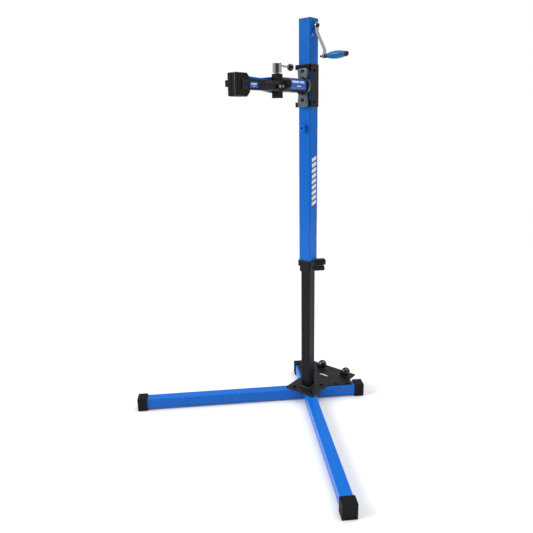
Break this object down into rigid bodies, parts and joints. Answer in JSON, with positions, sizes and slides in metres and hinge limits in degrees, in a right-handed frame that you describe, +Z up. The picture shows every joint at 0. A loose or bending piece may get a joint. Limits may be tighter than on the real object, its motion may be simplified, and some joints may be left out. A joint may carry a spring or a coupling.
{
  "type": "bike repair stand",
  "caption": "Free-standing bicycle repair stand: square telescopic mast raised by a side crank, rotating cam clamp with rubber jaws, folding front legs and short rear feet with rubber caps.",
  "frame": {"origin": "middle of the footprint, on the floor", "axes": "+Z up along the mast; -Y to the front, along the clamp arm; +X to the crank side"},
  "size_m": [1.2286, 0.8593, 1.751],
  "materials": {
    "blue_paint": "gloss powder coat",
    "textured_black": "textured powder coat",
    "black_tube": "satin powder coat",
    "black_casting": "painted casting",
    "grey_casting": "machined and lacquered",
    "gloss_black_paint": "gloss paint",
    "dark_steel": "black oxide",
    "zinc_steel": "zinc plated",
    "chrome": "polished",
    "bare_aluminium": "as machined",
    "bronze": "machined bronze",
    "rubber": "moulded",
    "nylon": "moulded",
    "black_plastic": "moulded",
    "gloss_black": "polished phenolic",
    "blue_plastic": "moulded",
    "label_blue": "blank label",
    "label_white": "blank label"
  },
  "bodies": {
    "base": {"base_plate": "textured_black", "inner_mast": "black_tube", "lead_nut": "bronze", "mast_glides": "nylon", "rear_stub_left": "blue_paint", "rear_stub_right": "blue_paint", "rear_cap_left": "rubber", "rear_cap_right": "rubber", "stub_bolts": "dark_steel", "pivot_bolts": "dark_steel", "lever_studs": "zinc_steel"},
    "leg_l": {"leg_left": "blue_paint", "leg_cap_left": "rubber"},
    "leg_r": {"leg_right": "blue_paint", "leg_cap_right": "rubber"},
    "lever_l": {"lever_hub_left": "dark_steel", "lever_ball_left": "gloss_black"},
    "lever_r": {"lever_hub_right": "dark_steel", "lever_ball_right": "gloss_black"},
    "upper": {"outer_mast": "blue_paint", "top_cap": "black_plastic", "guide_collar": "black_casting", "collar_bolts": "dark_steel", "collar_glides": "nylon", "gear_carrier": "bare_aluminium", "carrier_screws": "zinc_steel", "shaft_bushes": "zinc_steel", "accessory_boss": "blue_paint", "bracket_sleeve": "gloss_black_paint", "bracket_bolts": "dark_steel", "clamp_flange": "grey_casting", "flange_bolts": "dark_steel", "mast_stripe": "label_white"},
    "screw": {"lead_screw": "zinc_steel", "screw_gear": "zinc_steel"},
    "crank": {"crank_shaft": "zinc_steel", "crank_gear": "zinc_steel", "crank_arm": "chrome", "crank_bolt": "dark_steel", "handle_bolt": "dark_steel"},
    "hand_grip": {"grip_ferrule": "black_plastic", "grip": "blue_plastic", "grip_end_cap": "black_plastic"},
    "clamp": {"clamp_shaft": "zinc_steel", "rotation_disc": "black_casting", "arm_root": "gloss_black_paint", "arm_label": "label_blue", "clamp_block": "black_casting", "block_screws": "zinc_steel", "far_arm": "blue_paint", "far_jaw": "black_casting", "far_pad": "rubber"},
    "near_jaw": {"near_arm": "gloss_black_paint", "near_jaw_shell": "black_casting", "near_pad": "rubber", "near_label": "label_blue"},
    "cam": {"hinge_spindle": "zinc_steel", "cam_barrel": "chrome", "cam_rod": "zinc_steel", "cam_ball": "gloss_black"}
  },
  "joints": [
    {"name": "lift", "type": "slide", "parent": "base", "child": "upper", "axis": [0, 0, 1], "range_m": [-0.56, 0.2]},
    {"name": "screw_turn", "type": "hinge", "parent": "upper", "child": "screw", "pos_m": [0, 0.185, 1.705], "axis": [0, 0, 1], "continuous": true},
    {"name": "crank_turn", "type": "hinge", "parent": "upper", "child": "crank", "pos_m": [0.0415, 0.185, 1.721], "axis": [1, 0, 0], "continuous": true},
    {"name": "grip_spin", "type": "hinge", "parent": "crank", "child": "hand_grip", "pos_m": [0.138, 0.185, 1.601], "axis": [1, 0, 0], "continuous": true},
    {"name": "clamp_turn", "type": "hinge", "parent": "upper", "child": "clamp", "pos_m": [0, 0.14, 1.487], "axis": [0, -1, 0], "continuous": true},
    {"name": "jaw_open", "type": "hinge", "parent": "clamp", "child": "near_jaw", "pos_m": [0, -0.03, 1.478], "axis": [0, 0, 1], "range_deg": [0, 14]},
    {"name": "cam_turn", "type": "hinge", "parent": "clamp", "child": "cam", "pos_m": [0, -0.03, 1.548], "axis": [0, 0, -1], "range_deg": [0, 126]},
    {"name": "leg_fold_left", "type": "hinge", "parent": "base", "child": "leg_l", "pos_m": [-0.0502, 0.1348, 0.036], "axis": [0, 0, 1], "range_deg": [0, 45]},
    {"name": "leg_fold_right", "type": "hinge", "parent": "base", "child": "leg_r", "pos_m": [0.0502, 0.1348, 0.036], "axis": [0, 0, -1], "range_deg": [0, 45]},
    {"name": "lever_turn_left", "type": "hinge", "parent": "base", "child": "lever_l", "pos_m": [-0.072, 0.392, 0.073], "axis": [0, 0, 1], "range_deg": [-90, 90]},
    {"name": "lever_turn_right", "type": "hinge", "parent": "base", "child": "lever_r", "pos_m": [0.072, 0.392, 0.073], "axis": [0, 0, 1], "range_deg": [-90, 90]}
  ],
  "couplings": [
    {"joint": "screw_turn", "follows": "lift", "rad_per_m": 314.16},
    {"joint": "crank_turn", "follows": "lift", "rad_per_m": 314.16},
    {"joint": "cam_turn", "follows": "jaw_open", "ratio": 9}
  ]
}
